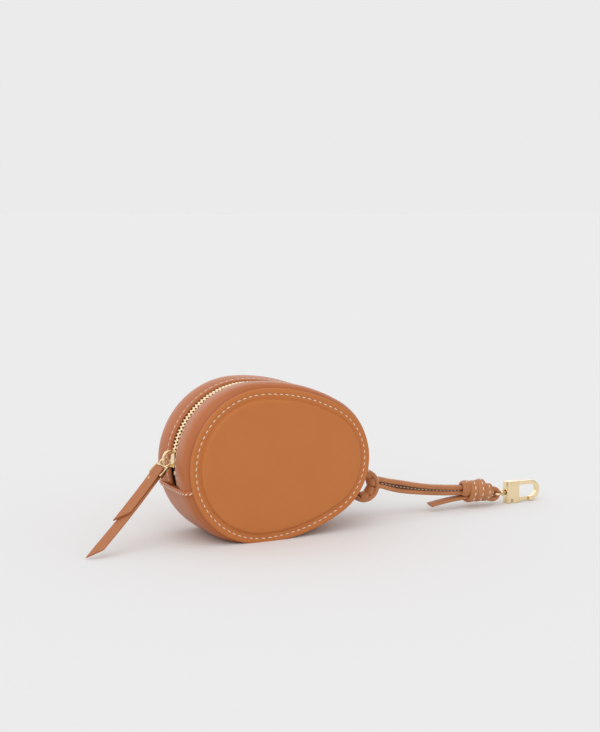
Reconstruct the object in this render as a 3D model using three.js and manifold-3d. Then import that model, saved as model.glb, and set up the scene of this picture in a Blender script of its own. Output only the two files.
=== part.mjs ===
// Egg-shaped zippered leather pouch with a lanyard strap and a swivel clasp.
// Millimetres, +Z up. The front panel faces -Y and the narrow end points to +X.
// The origin is on the surface the pouch stands on, below the centre of the round end.

import * as THREE from 'three';
import { mergeVertices } from 'three/addons/utils/BufferGeometryUtils.js';
import Module from 'manifold-3d';

const wasm = await Module();
wasm.setup();

// ---- Driving dimensions ----------------------------------------------------

// Outline of the body: a round end, a smaller round tip and two flat side arcs
const POUCH_LENGTH = 110;
const BIG_RADIUS = 43.5;
const TIP_RADIUS = 35;
const POUCH_DEPTH = 50;

// Gap kept between neighbouring pieces, and the wider one between moving pieces
const GAP = 0.3;
const RUNNING = 0.5;

// Moulded panels
const PANEL_LEATHER = 1.8;
const PLATEAU_INSET = 6.3;
const PLATEAU_RISE = 1.5;
const PLATEAU_ROUND = 1.2;
const PLATEAU_SKIN = 1.2;
const PANEL_LINING = 0.6;

// Gusset band and zip strips
const GUSSET_LEATHER = 2.0;
const STRIP_LEATHER = 1.2;
const CROWN = 0.6;
const ROLL = 3.5;
const FLANGE = 7;
const LINING = 0.5;
const REST_CUT = 1.8;
const BIG_END_SEAM = 196;
const TIP_END_SEAM = -14;
const SEAM_SLIT = 0.3;
const BAND_SPACING = 6;
const LINING_SPACING = 9;

// Zip: 4 mm metal chain between folded leather edges
const ZIP_OPENING = 8.6;
const TAPE_THICKNESS = 0.5;
const TAPE_WIDTH = 9.5;
const CHAIN_WIDTH = 4.2;
const TOOTH_HEIGHT = 1.9;
const TOOTH_PITCH = 2.1;
const TOOTH_LENGTH = 0.72;
const TOOTH_REACH = 0.8;
const BEAD_SIZE = 0.8;
const STOP_LENGTH = 2.4;

// Slider
const SLIDER_ANGLE = 175;
const SLIDER_LENGTH = 9;
const SLIDER_PLATE = 0.9;
const SLIDER_NARROW = 5.4;
const SLIDER_WIDE = 7.2;
const BRIDGE_SPAN = 8;
const BRIDGE_OPENING = 4.1;
const BRIDGE_BAR = 1.2;
const BRIDGE_WIDTH = 0.9;

// Puller: stirrup, pin and folded leather tab
const PULL_YAW = 23;
const PULL_DROOP = 38.5;
const PULL_ROLL = 20;
// How far under the bridge's bar the pull's eye turns.
const EYE_HEADROOM = 1.45;
const EYE_RADIUS = 2.8;
const EYE_WIRE = 1;
const YOKE_LENGTH = 12.5;
const YOKE_CHEEK = 0.9;
const YOKE_NARROW = 1.6;
const YOKE_WIDE = 3.4;
const PIN_AT = 8.6;
const PIN_DIAMETER = 1.4;
const TAB_WIDTH = 5.6;
const TAB_LEATHER = 1.3;
const TAB_SHORT_END = 49.5;
const TAB_LONG_END = 74.5;
const TAB_TIP_SLANT = 8.5;

// Anchor loop and ring at the narrow end
const ANCHOR_ANGLE = -26.6;
const ANCHOR_WIDTH = 7;
const ANCHOR_LEATHER = 1.2;
const RING_RADIUS = 7.5;
const RING_WIRE = 2;
const RING_REACH = 12.9;

// Lace strap
const LACE_WIDTH = 5.6;
const LACE_THICKNESS = 2.8;
const LACE_PINCH = 4.2;
const HITCH_TILT = -15;
const HITCH_HALF_SPAN = 66;
const HITCH_WALL = 2.6;
const KNOT_LENGTH = 21.6;
const KNOT_RADIUS = 7;

// Swivel clasp
const SWIVEL_EYE_RADIUS = 3.7;
const SWIVEL_EYE_WIRE = 1.4;
const SWIVEL_BALL = 2.1;
const POST_DIAMETER = 2.4;
const POST_HEAD = 3.6;
const BLOCK_LENGTH = 9;
const BLOCK_HEIGHT = 13.6;
const BLOCK_DEPTH = 4.8;
const LOOP_REACH = 16;
const LOOP_HEIGHT = 12.8;
const LOOP_BAR = 2.4;
const LOOP_DEPTH = 2.8;
const GATE_DEPTH = 1.2;
const GATE_PIN_DIAMETER = 1.2;
const GATE_PIN_AT = 3.6;
const SPRING_WIRE = 0.3;
const SPRING_TURNS = 1.5;
const SPRING_PITCH = 0.4;

// ---- Looks -----------------------------------------------------------------

const TAN_LEATHER = { color: 0xb9723f, roughness: 0.55, metalness: 0 };
const LACE_LEATHER = { color: 0xb06d40, roughness: 0.6, metalness: 0 };
const LINING_CLOTH = { color: 0x8a6a4c, roughness: 0.9, metalness: 0 };
const BOARD = { color: 0x9b8a72, roughness: 0.95, metalness: 0 };
const TAPE = { color: 0x4a3020, roughness: 0.95, metalness: 0 };
const GOLD = { color: 0xe2bd74, roughness: 0.22, metalness: 1 };
const STEEL = { color: 0xa8a8a8, roughness: 0.35, metalness: 1 };

// ---- Values that follow from the dimensions --------------------------------

const DEG = Math.PI / 180;
const TIP_OFFSET = POUCH_LENGTH - BIG_RADIUS - TIP_RADIUS;
const SIDE_RADIUS = (TIP_OFFSET ** 2 + BIG_RADIUS ** 2 - TIP_RADIUS ** 2) / (2 * (BIG_RADIUS - TIP_RADIUS));
const SIDE_DROP = SIDE_RADIUS - BIG_RADIUS;
const TIP_HALF_ANGLE = Math.atan2(SIDE_DROP, TIP_OFFSET) / DEG;
const AXIS_HEIGHT = BIG_RADIUS + CROWN - REST_CUT;
const RIM_PLANE = POUCH_DEPTH / 2;
const INNER_FACE = RIM_PLANE - PANEL_LEATHER;
const HALF_BAND = INNER_FACE - GAP;

// How deep the panel is hollowed out for its board
const POCKET_FLOOR = RIM_PLANE + PLATEAU_RISE - PLATEAU_SKIN;

// The tape lies just under the strips, and the chain is centred on it
const TAPE_TOP = CROWN - STRIP_LEATHER - GAP;
const CHAIN_LEVEL = TAPE_TOP - TAPE_THICKNESS / 2;
const BEAD_AT = CHAIN_WIDTH / 2 - BEAD_SIZE / 2;

// ---- Building helpers ------------------------------------------------------

function toSolid(geometry) {
  const bare = geometry.clone();
  bare.deleteAttribute('normal');
  bare.deleteAttribute('uv');
  const merged = mergeVertices(bare, 1e-4);
  return new wasm.Manifold(new wasm.Mesh({
    numProp: 3,
    vertProperties: new Float32Array(merged.attributes.position.array),
    triVerts: new Uint32Array(merged.index.array),
  }));
}

function toGeometry(body) {
  const { vertProperties, triVerts } = body.getMesh();
  const geometry = new THREE.BufferGeometry();
  geometry.setAttribute('position', new THREE.BufferAttribute(new Float32Array(vertProperties), 3));
  geometry.setIndex(new THREE.BufferAttribute(new Uint32Array(triVerts), 1));
  geometry.computeVertexNormals();
  return geometry;
}

function join(...geometries) {
  return toGeometry(geometries.map(toSolid).reduce((whole, piece) => whole.add(piece)));
}

function cut(geometry, ...tools) {
  return toGeometry(tools.map(toSolid).reduce((whole, tool) => whole.subtract(tool), toSolid(geometry)));
}

function piece(name, geometry, look) {
  const mesh = new THREE.Mesh(geometry, new THREE.MeshStandardMaterial(look));
  mesh.name = name;
  return mesh;
}

function box(x0, x1, y0, y1, z0, z1) {
  const geometry = new THREE.BoxGeometry(x1 - x0, y1 - y0, z1 - z0);
  return geometry.translate((x0 + x1) / 2, (y0 + y1) / 2, (z0 + z1) / 2);
}

// A cylinder along Y, between two depths
function pinAlongY(radius, x, z, y0, y1, sides = 16) {
  const geometry = new THREE.CylinderGeometry(radius, radius, y1 - y0, sides);
  return geometry.translate(x, (y0 + y1) / 2, z);
}

// A shape drawn in X and Z, given its thickness along Y
function plateAlongY(shape, y0, y1, curveSegments = 8) {
  const geometry = new THREE.ExtrudeGeometry(shape, { depth: y1 - y0, bevelEnabled: false, curveSegments });
  return geometry.rotateX(Math.PI / 2).translate(0, y1, 0);
}

function polygon(points) {
  return new THREE.Shape(points.map(([x, y]) => new THREE.Vector2(x, y)));
}

// ---- The egg outline -------------------------------------------------------

// A point of the outline in X and Z, where the outward normal has this angle
function rimPoint(angle, outset = 0) {
  const turned = THREE.MathUtils.euclideanModulo(angle + 180, 360) - 180;
  const side = Math.sign(turned);
  const steep = Math.abs(turned);
  let centre = [0, 0, BIG_RADIUS];
  if (steep < TIP_HALF_ANGLE) centre = [TIP_OFFSET, 0, TIP_RADIUS];
  else if (steep < 90) centre = [0, -side * SIDE_DROP, SIDE_RADIUS];
  const reach = centre[2] + outset;
  return [centre[0] + reach * Math.cos(turned * DEG), centre[1] + reach * Math.sin(turned * DEG)];
}

class RimPath extends THREE.Curve {
  constructor(fromAngle, toAngle, outset = 0) {
    super();
    this.fromAngle = fromAngle;
    this.toAngle = toAngle;
    this.outset = outset;
    this.arcLengthDivisions = 1000;
  }

  angleAt(t) {
    return this.fromAngle + (this.toAngle - this.fromAngle) * t;
  }

  getPoint(t, target = new THREE.Vector3()) {
    const [x, z] = rimPoint(this.angleAt(t), this.outset);
    return target.set(x, 0, z);
  }
}

// Sweeps a section round the outline. In the section, X is forward and Y is outward.
function sweepRim(shape, fromAngle, toAngle, spacing) {
  const extrudePath = new RimPath(fromAngle, toAngle);
  const steps = Math.ceil(extrudePath.getLength() / spacing);
  return new THREE.ExtrudeGeometry(shape, { steps, bevelEnabled: false, extrudePath });
}

// The outline as a flat shape, set in from the rim by the same amount everywhere
function eggShape(inset) {
  const shape = new THREE.Shape();
  const tip = TIP_HALF_ANGLE * DEG;
  shape.absarc(0, 0, BIG_RADIUS - inset, Math.PI / 2, Math.PI, false);
  shape.absarc(0, 0, BIG_RADIUS - inset, Math.PI, 1.5 * Math.PI, false);
  shape.absarc(0, SIDE_DROP, SIDE_RADIUS - inset, -Math.PI / 2, -tip, false);
  shape.absarc(TIP_OFFSET, 0, TIP_RADIUS - inset, -tip, tip, false);
  shape.absarc(0, -SIDE_DROP, SIDE_RADIUS - inset, tip, Math.PI / 2, false);
  return shape;
}

// An egg plate on one side of the pouch, between two distances from the middle
function eggPlate(side, inset, near, far) {
  const geometry = new THREE.ExtrudeGeometry(eggShape(inset), {
    depth: far - near, bevelEnabled: false, curveSegments: 7,
  });
  return geometry.rotateX(-side * Math.PI / 2).translate(0, side * near, 0);
}

// A group whose X runs along the rim, Y points forward and Z points outward
function rimGroup(angle) {
  const group = new THREE.Group();
  const [x, z] = rimPoint(angle);
  group.position.set(x, 0, z);
  const along = new THREE.Vector3(-Math.sin(angle * DEG), 0, Math.cos(angle * DEG));
  const outward = new THREE.Vector3(Math.cos(angle * DEG), 0, Math.sin(angle * DEG));
  const forward = new THREE.Vector3(0, -1, 0);
  group.quaternion.setFromRotationMatrix(new THREE.Matrix4().makeBasis(along, forward, outward));
  return group;
}

// Everything below the surface that the pouch stands on
function groundBlock() {
  const reach = POUCH_LENGTH;
  return box(-reach, reach, -reach, reach, -2 * reach, -AXIS_HEIGHT);
}

// ---- Panels ----------------------------------------------------------------

function panelSkin(side) {
  const rim = eggPlate(side, 0, INNER_FACE, RIM_PLANE);
  const plateau = new THREE.ExtrudeGeometry(eggShape(PLATEAU_INSET + PLATEAU_ROUND), {
    depth: PANEL_LEATHER + PLATEAU_RISE - 2 * PLATEAU_ROUND - GAP, bevelThickness: PLATEAU_ROUND,
    bevelSize: PLATEAU_ROUND, bevelSegments: 2, curveSegments: 7,
  });
  plateau.rotateX(-side * Math.PI / 2).translate(0, side * (INNER_FACE + PLATEAU_ROUND + GAP), 0);
  const pocket = eggPlate(side, PLATEAU_INSET + PLATEAU_ROUND + GAP, INNER_FACE - PANEL_LEATHER, POCKET_FLOOR);
  return cut(join(rim, plateau), pocket, groundBlock());
}

function panelBoard(side) {
  return eggPlate(side, PLATEAU_INSET + PLATEAU_ROUND + 2 * GAP, INNER_FACE + GAP, POCKET_FLOOR - GAP);
}

function panelLining(side) {
  return eggPlate(side, FLANGE + 2 * GAP, HALF_BAND - PANEL_LINING, HALF_BAND);
}

// ---- Gusset band and zip strips --------------------------------------------

// Height of the crown's curve above the rim, so far forward of the middle
function crownHeight(forward) {
  return CROWN * (1 - (forward / (HALF_BAND - ROLL)) ** 2);
}

// Half of the band's cross-section line, from beside the middle to the flange's end
function bandLine(start, drop) {
  const crownEnd = HALF_BAND - ROLL;
  const crownSteps = 3;
  const rollSteps = 2;
  const line = [];
  for (let i = 0; i <= crownSteps; i += 1) {
    const forward = start + (crownEnd - start) * i / crownSteps;
    line.push([forward, crownHeight(forward) - drop]);
  }
  for (let i = 1; i <= rollSteps; i += 1) {
    const turn = 90 * DEG * (1 - i / rollSteps);
    line.push([crownEnd + (ROLL - drop) * Math.cos(turn), -ROLL + (ROLL - drop) * Math.sin(turn)]);
  }
  line.push([HALF_BAND - drop, -FLANGE]);
  return line;
}

function mirrored(line) {
  return line.map(([forward, outward]) => [-forward, outward]);
}

// The whole band: both flanges, both rolls and the crown
function bandSection(drop, thickness) {
  const outer = bandLine(0, drop);
  const inner = bandLine(0, drop + thickness);
  return polygon([
    ...mirrored(outer).reverse(), ...outer.slice(1),
    ...inner.reverse(), ...mirrored(inner).reverse().slice(1),
  ]);
}

// One strip: from the folded edge beside the zip to its flange
function stripSection(side, start, drop, thickness) {
  const outer = bandLine(start, drop);
  const inner = bandLine(start, drop + thickness);
  const line = [...outer, ...inner.reverse()];
  return polygon(side < 0 ? line : mirrored(line));
}

function lowerGusset() {
  const band = sweepRim(bandSection(0, GUSSET_LEATHER), BIG_END_SEAM, 360 + TIP_END_SEAM, BAND_SPACING);
  return cut(band, groundBlock());
}

function gussetLining() {
  const section = bandSection(GUSSET_LEATHER + GAP, LINING);
  return sweepRim(section, BIG_END_SEAM, 360 + TIP_END_SEAM, LINING_SPACING);
}

function zipStrip(side) {
  const section = stripSection(side, ZIP_OPENING / 2, 0, STRIP_LEATHER);
  return sweepRim(section, TIP_END_SEAM + SEAM_SLIT, BIG_END_SEAM - SEAM_SLIT, BAND_SPACING);
}

function stripLining(side) {
  const drop = CROWN - TAPE_TOP + TAPE_THICKNESS + GAP;
  const section = stripSection(side, ZIP_OPENING / 2, drop, LINING);
  return sweepRim(section, TIP_END_SEAM + SEAM_SLIT, BIG_END_SEAM - SEAM_SLIT, LINING_SPACING);
}

// ---- Zip -------------------------------------------------------------------

function rectangle(x0, x1, y0, y1) {
  return polygon([[x0, y0], [x1, y0], [x1, y1], [x0, y1]]);
}

function zipTape(side) {
  const inner = CHAIN_WIDTH / 2 + GAP;
  const drop = CROWN - TAPE_TOP;
  const across = [inner, inner + TAPE_WIDTH / 2, inner + TAPE_WIDTH];
  const face = across.map((forward) => [forward, crownHeight(forward) - drop]);
  const underside = across.map((forward) => [forward, crownHeight(forward) - drop - TAPE_THICKNESS]);
  const line = [...face, ...underside.reverse()];
  const section = polygon(side < 0 ? line : mirrored(line));
  return sweepRim(section, TIP_END_SEAM + SEAM_SLIT, BIG_END_SEAM - SEAM_SLIT, BAND_SPACING);
}

const CHAIN_START = TIP_END_SEAM + 8;
const CHAIN_END = SLIDER_ANGLE - 1;

function zipTeeth(side) {
  const path = new RimPath(CHAIN_START, CHAIN_END, CHAIN_LEVEL);
  const beadRange = [BEAD_AT - BEAD_SIZE / 2, BEAD_AT + BEAD_SIZE / 2];
  const forward = side < 0 ? beadRange : [-beadRange[1], -beadRange[0]];
  const half = BEAD_SIZE / 2;
  const bead = sweepRim(
    rectangle(...forward, CHAIN_LEVEL - half, CHAIN_LEVEL + half), CHAIN_START, CHAIN_END, BAND_SPACING,
  );
  const pieces = [bead];
  const length = path.getLength();
  const first = side < 0 ? TOOTH_PITCH / 2 : TOOTH_PITCH;
  for (let along = first; along < length - TOOTH_LENGTH; along += TOOTH_PITCH) {
    const place = path.getPointAt(along / length);
    const heading = path.getTangentAt(along / length);
    const width = BEAD_AT + TOOTH_REACH;
    const geometry = new THREE.BoxGeometry(TOOTH_LENGTH, width, TOOTH_HEIGHT);
    geometry.translate(0, side * (BEAD_AT - TOOTH_REACH) / 2, 0);
    geometry.rotateY(Math.atan2(-heading.z, heading.x)).translate(place.x, 0, place.z);
    pieces.push(geometry);
  }
  return join(...pieces);
}

// A stop clamped over the tape edges, just past the end of the chain
function zipStop(name, angle, forward0, forward1) {
  const group = rimGroup(angle);
  group.add(piece(name, box(
    -STOP_LENGTH / 2, STOP_LENGTH / 2, forward0, forward1,
    CHAIN_LEVEL - TOOTH_HEIGHT / 2, CHAIN_LEVEL + TOOTH_HEIGHT / 2,
  ), GOLD));
  return group;
}

// ---- Slider ----------------------------------------------------------------

const PLATE_BOTTOM = CHAIN_LEVEL + TOOTH_HEIGHT / 2 + RUNNING;
const PLATE_TOP = PLATE_BOTTOM + SLIDER_PLATE;
const KEEL_TOP = CHAIN_LEVEL - TOOTH_HEIGHT / 2 - RUNNING;
const HINGE_HEIGHT = PLATE_TOP + BRIDGE_OPENING - EYE_HEADROOM;

// Plan outline of a slider plate, narrow towards the closed chain
function sliderPlan() {
  const half = SLIDER_LENGTH / 2;
  const narrow = SLIDER_NARROW / 2;
  const wide = SLIDER_WIDE / 2;
  return polygon([
    [-half, -narrow * 0.7], [half * 0.4, -wide], [half, -wide * 0.75],
    [half, wide * 0.75], [half * 0.4, wide], [-half, narrow * 0.7],
  ]);
}

function slab(shape, z0, z1) {
  const geometry = new THREE.ExtrudeGeometry(shape, { depth: z1 - z0, bevelEnabled: false, curveSegments: 6 });
  return geometry.translate(0, 0, z0);
}

function bridge() {
  const half = BRIDGE_SPAN / 2;
  const top = PLATE_TOP + BRIDGE_OPENING + BRIDGE_BAR;
  const sunk = PLATE_TOP - SLIDER_PLATE / 2;
  const shape = polygon([
    [-half, sunk], [-half, top - BRIDGE_BAR], [-half + BRIDGE_BAR, top],
    [half - BRIDGE_BAR, top], [half, top - BRIDGE_BAR], [half, sunk],
    [half - BRIDGE_BAR, sunk], [half - BRIDGE_BAR, top - BRIDGE_BAR],
    [-half + BRIDGE_BAR, top - BRIDGE_BAR], [-half + BRIDGE_BAR, sunk],
  ]);
  return plateAlongY(shape, -BRIDGE_WIDTH / 2, BRIDGE_WIDTH / 2);
}

function sliderBody() {
  const topPlate = slab(sliderPlan(), PLATE_BOTTOM, PLATE_TOP);
  const keel = slab(sliderPlan(), KEEL_TOP - SLIDER_PLATE, KEEL_TOP);
  const postStart = SLIDER_LENGTH / 2 - 3;
  const post = box(postStart, postStart + 2, -0.7, 0.7, KEEL_TOP - SLIDER_PLATE / 2, PLATE_TOP - SLIDER_PLATE / 2);
  return join(topPlate, keel, post, bridge());
}

// ---- Puller ----------------------------------------------------------------

// Puller frame: X runs to the tab's tip, Y along the pin, Z out of the tab's face
function pullerGroup() {
  const anchor = rimPoint(SLIDER_ANGLE, HINGE_HEIGHT);
  const yaw = new THREE.Quaternion().setFromAxisAngle(new THREE.Vector3(0, 0, 1), (180 + PULL_YAW) * DEG);
  const droop = new THREE.Quaternion().setFromAxisAngle(new THREE.Vector3(0, 1, 0), PULL_DROOP * DEG);
  const roll = new THREE.Quaternion().setFromAxisAngle(new THREE.Vector3(1, 0, 0), -PULL_ROLL * DEG);
  const group = new THREE.Group();
  group.position.set(anchor[0], 0, anchor[1]);
  group.quaternion.copy(yaw.multiply(droop).multiply(roll));
  return group;
}

const CHEEK_INNER = TAB_WIDTH / 2 + GAP;

function yokeCheek(side) {
  const shape = polygon([
    [2 * EYE_RADIUS - 0.6, -YOKE_NARROW / 2], [YOKE_LENGTH, -YOKE_WIDE / 2],
    [YOKE_LENGTH, YOKE_WIDE / 2], [2 * EYE_RADIUS - 0.6, YOKE_NARROW / 2],
  ]);
  const inner = side * CHEEK_INNER;
  const outer = side * (CHEEK_INNER + YOKE_CHEEK);
  return plateAlongY(shape, Math.min(inner, outer), Math.max(inner, outer));
}

function pullYoke() {
  const eye = new THREE.TorusGeometry(EYE_RADIUS, EYE_WIRE / 2, 8, 20).translate(EYE_RADIUS, 0, 0);
  const shoulder = box(
    2 * EYE_RADIUS - 0.3, PIN_AT - PIN_DIAMETER / 2 - TAB_LEATHER - 2 * GAP,
    -CHEEK_INNER - YOKE_CHEEK, CHEEK_INNER + YOKE_CHEEK, -YOKE_NARROW / 2, YOKE_NARROW / 2,
  );
  return join(eye, shoulder, yokeCheek(-1), yokeCheek(1));
}

function pullPin() {
  const half = CHEEK_INNER - GAP / 3;
  return pinAlongY(PIN_DIAMETER / 2, PIN_AT, 0, -half, half, 12);
}

function pullTab() {
  const bore = PIN_DIAMETER / 2 + GAP;
  const fold = bore + TAB_LEATHER;
  const joined = PIN_AT + 6;
  const outline = new THREE.Shape();
  outline.moveTo(TAB_SHORT_END, TAB_LEATHER);
  outline.lineTo(joined, TAB_LEATHER);
  outline.lineTo(PIN_AT, fold);
  outline.absarc(PIN_AT, 0, fold, Math.PI / 2, 1.5 * Math.PI, false);
  outline.lineTo(joined, -TAB_LEATHER);
  outline.lineTo(TAB_LONG_END, -TAB_LEATHER);
  outline.lineTo(TAB_LONG_END, 0);
  outline.lineTo(TAB_SHORT_END, 0);
  const hole = new THREE.Path();
  hole.moveTo(joined - 1, 0);
  hole.lineTo(PIN_AT, bore);
  hole.absarc(PIN_AT, 0, bore, Math.PI / 2, 1.5 * Math.PI, false);
  hole.lineTo(joined - 1, 0);
  outline.holes.push(hole);
  const half = TAB_WIDTH / 2;
  const strip = plateAlongY(outline, -half, half, 6);
  const past = 2 * TAB_LEATHER;
  const slant = (end, low, high) => slab(polygon([
    [end, -half - 1], [end + past * 4, -half - 1], [end + past * 4, half + 1],
    [end - TAB_TIP_SLANT * (1 + 1 / half), half + 1],
  ]), low, high);
  return cut(strip, slant(TAB_LONG_END, -past, past), slant(TAB_SHORT_END, 0, past));
}

// ---- Anchor loop and ring --------------------------------------------------

function anchorTab() {
  const foldCentre = RING_REACH - RING_RADIUS;
  const bore = RING_WIRE / 2 + RUNNING + ANCHOR_WIDTH ** 2 / (8 * RING_RADIUS);
  const fold = bore + ANCHOR_LEATHER;
  const neck = ANCHOR_LEATHER;
  const neckAngle = Math.asin(neck / fold);
  const shape = new THREE.Shape();
  shape.moveTo(-neck, CROWN + GAP);
  shape.lineTo(neck, CROWN + GAP);
  shape.absarc(0, foldCentre, fold, -Math.PI / 2 + neckAngle, 1.5 * Math.PI - neckAngle, false);
  const hole = new THREE.Path();
  hole.absarc(0, foldCentre, bore, 0, 2 * Math.PI, false);
  shape.holes.push(hole);
  const geometry = new THREE.ExtrudeGeometry(shape, {
    depth: ANCHOR_WIDTH, bevelEnabled: false, curveSegments: 8,
  });
  geometry.translate(0, 0, -ANCHOR_WIDTH / 2);
  const axes = [new THREE.Vector3(0, 1, 0), new THREE.Vector3(0, 0, 1), new THREE.Vector3(1, 0, 0)];
  return geometry.applyMatrix4(new THREE.Matrix4().makeBasis(...axes));
}

function anchorRing() {
  const ring = new THREE.TorusGeometry(RING_RADIUS, RING_WIRE / 2, 8, 24);
  return ring.rotateX(Math.PI / 2).translate(0, 0, RING_REACH);
}

// ---- Lace strap ------------------------------------------------------------

// Lace stretches, in X and Z from the centre of the anchor ring
const UPPER_STRAND = [[12.4, 2.4], [19, 0.7], [26.9, -1], [48, -5.4], [69.4, -7.8]];
const LOWER_STRAND = [[12.4, -1.6], [19, -3.7], [26.9, -5.8], [48, -9], [69.4, -11]];
const CUT_END = [[47.5, -16.7], [56, -15.4], [63, -14.6], [69.4, -14.2]];
const END_BIGHT = [
  [92, -10.7], [94.6, -10.9], [96.3, -12], [96.9, -13.9], [96.3, -15.8], [94.6, -16.9], [92, -17.1],
];
const KNOT_START = 70;
const KNOT_HEIGHT = -10.6;
const CLASP_START = [103, -13.9];

function laceSection(width) {
  const shape = new THREE.Shape();
  shape.absellipse(0, 0, width / 2, LACE_THICKNESS / 2, 0, 2 * Math.PI, false, 0);
  return shape;
}

// The broad side of the lace lies along Y
function laceRun(points, steps, width = LACE_WIDTH) {
  const extrudePath = new THREE.CatmullRomCurve3(points.map(([x, z]) => new THREE.Vector3(x, 0, z)));
  return new THREE.ExtrudeGeometry(laceSection(width), {
    steps, bevelEnabled: false, extrudePath, curveSegments: 4,
  });
}

class RingArc extends THREE.Curve {
  getPoint(t, target = new THREE.Vector3()) {
    const angle = (HITCH_TILT + HITCH_HALF_SPAN * (2 * t - 1)) * DEG;
    return target.set(RING_RADIUS * Math.cos(angle), 0, RING_RADIUS * Math.sin(angle));
  }
}

function strapHitch() {
  const bore = RING_WIRE / 2 + RUNNING;
  const sleeve = new THREE.Shape();
  sleeve.absarc(0, 0, bore + HITCH_WALL, 0, 2 * Math.PI, false);
  const hole = new THREE.Path();
  hole.absarc(0, 0, bore, 0, 2 * Math.PI, false);
  sleeve.holes.push(hole);
  return new THREE.ExtrudeGeometry(sleeve, {
    steps: 10, bevelEnabled: false, extrudePath: new RingArc(), curveSegments: 5,
  });
}

function strapKnot() {
  const end = KNOT_RADIUS * 0.8;
  const profile = [
    [0, 0], [end, 0], [KNOT_RADIUS, 3], [KNOT_RADIUS, KNOT_LENGTH - 3], [end, KNOT_LENGTH], [0, KNOT_LENGTH],
  ];
  const barrel = new THREE.LatheGeometry(profile.map(([r, y]) => new THREE.Vector2(r, y)), 16);
  return barrel.rotateZ(-Math.PI / 2).translate(KNOT_START, 0, KNOT_HEIGHT);
}

// ---- Swivel clasp ----------------------------------------------------------

// Clasp frame: X runs from the block's near face to the hook's end, Z up
const POST_CAVITY = POST_HEAD / 2 + RUNNING;
const POST_BORE = POST_DIAMETER / 2 + RUNNING;
const CAVITY_START = 1.3;
const CAVITY_LENGTH = 2;

function pinAlongX(radius, x0, x1, sides = 14) {
  const geometry = new THREE.CylinderGeometry(radius, radius, x1 - x0, sides);
  return geometry.rotateZ(-Math.PI / 2).translate((x0 + x1) / 2, 0, 0);
}

function swivelEye() {
  const ballAt = -SWIVEL_BALL - GAP;
  const eyeAt = ballAt - SWIVEL_EYE_RADIUS + GAP;
  const eye = new THREE.TorusGeometry(SWIVEL_EYE_RADIUS, SWIVEL_EYE_WIRE / 2, 6, 20).translate(eyeAt, 0, 0);
  const ball = new THREE.SphereGeometry(SWIVEL_BALL, 12, 8).translate(ballAt, 0, 0);
  const post = pinAlongX(POST_DIAMETER / 2, ballAt, CAVITY_START + RUNNING + 0.4);
  const headStart = CAVITY_START + RUNNING;
  const head = pinAlongX(POST_HEAD / 2, headStart, headStart + 1);
  return join(eye, ball, post, head);
}

const GATE_LEVEL = -LOOP_HEIGHT / 2 + LOOP_BAR / 2;
const NOSE_AT = BLOCK_LENGTH + LOOP_REACH - LOOP_HEIGHT / 2 - 1.5;

function hookLoop() {
  const outer = LOOP_HEIGHT / 2;
  const inner = outer - LOOP_BAR;
  const centre = BLOCK_LENGTH + LOOP_REACH - outer;
  const start = BLOCK_LENGTH - 1;
  const shape = new THREE.Shape();
  shape.moveTo(start, outer);
  shape.lineTo(start, inner);
  shape.lineTo(centre, inner);
  shape.absarc(centre, 0, inner, Math.PI / 2, -Math.PI / 2, true);
  shape.lineTo(NOSE_AT, -inner);
  shape.lineTo(NOSE_AT, -outer);
  shape.lineTo(centre, -outer);
  shape.absarc(centre, 0, outer, -Math.PI / 2, Math.PI / 2, false);
  return plateAlongY(shape, -LOOP_DEPTH / 2, LOOP_DEPTH / 2, 10);
}

function claspBody() {
  const half = BLOCK_HEIGHT / 2;
  const deep = BLOCK_DEPTH / 2;
  const block = box(0, BLOCK_LENGTH, -deep, deep, -half, half);
  const cavity = pinAlongX(POST_CAVITY, CAVITY_START, CAVITY_START + CAVITY_LENGTH);
  const bore = pinAlongX(POST_BORE, -1, CAVITY_START + 1);
  const slotHalf = GATE_DEPTH / 2 + SPRING_TURNS * SPRING_PITCH + SPRING_WIRE + GAP;
  const slot = box(1.4, BLOCK_LENGTH + 1, -slotHalf, slotHalf, -half - 1, GATE_LEVEL + 4.2);
  const bearing = pinAlongY(GATE_PIN_DIAMETER / 2 + GAP, GATE_PIN_AT, GATE_LEVEL, -deep - 1, deep + 1);
  return cut(join(block, hookLoop()), cavity, bore, slot, bearing);
}

function claspGate() {
  const half = LOOP_BAR / 2;
  const end = NOSE_AT - GAP;
  const shape = new THREE.Shape();
  shape.moveTo(GATE_PIN_AT, GATE_LEVEL + half);
  shape.absarc(GATE_PIN_AT, GATE_LEVEL, half, Math.PI / 2, 1.5 * Math.PI, false);
  shape.lineTo(end, GATE_LEVEL - half);
  shape.lineTo(end, GATE_LEVEL + half);
  const hole = new THREE.Path();
  hole.absarc(GATE_PIN_AT, GATE_LEVEL, GATE_PIN_DIAMETER / 2 + GAP / 2, 0, 2 * Math.PI, false);
  shape.holes.push(hole);
  return plateAlongY(shape, -GATE_DEPTH / 2, GATE_DEPTH / 2, 8);
}

function gatePin() {
  const half = BLOCK_DEPTH / 2;
  return pinAlongY(GATE_PIN_DIAMETER / 2, GATE_PIN_AT, GATE_LEVEL, -half, half, 12);
}

// A torsion spring round the gate's pin, between the gate and the block's far cheek
class SpringCoil extends THREE.Curve {
  getPoint(t, target = new THREE.Vector3()) {
    const radius = GATE_PIN_DIAMETER / 2 + SPRING_WIRE;
    const angle = 2 * Math.PI * SPRING_TURNS * t;
    const start = GATE_DEPTH / 2 + GAP / 2 + SPRING_WIRE / 2;
    const along = start + SPRING_TURNS * SPRING_PITCH * t;
    return target.set(radius * Math.cos(angle), along, radius * Math.sin(angle));
  }
}

// ---- Assembly --------------------------------------------------------------

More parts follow.
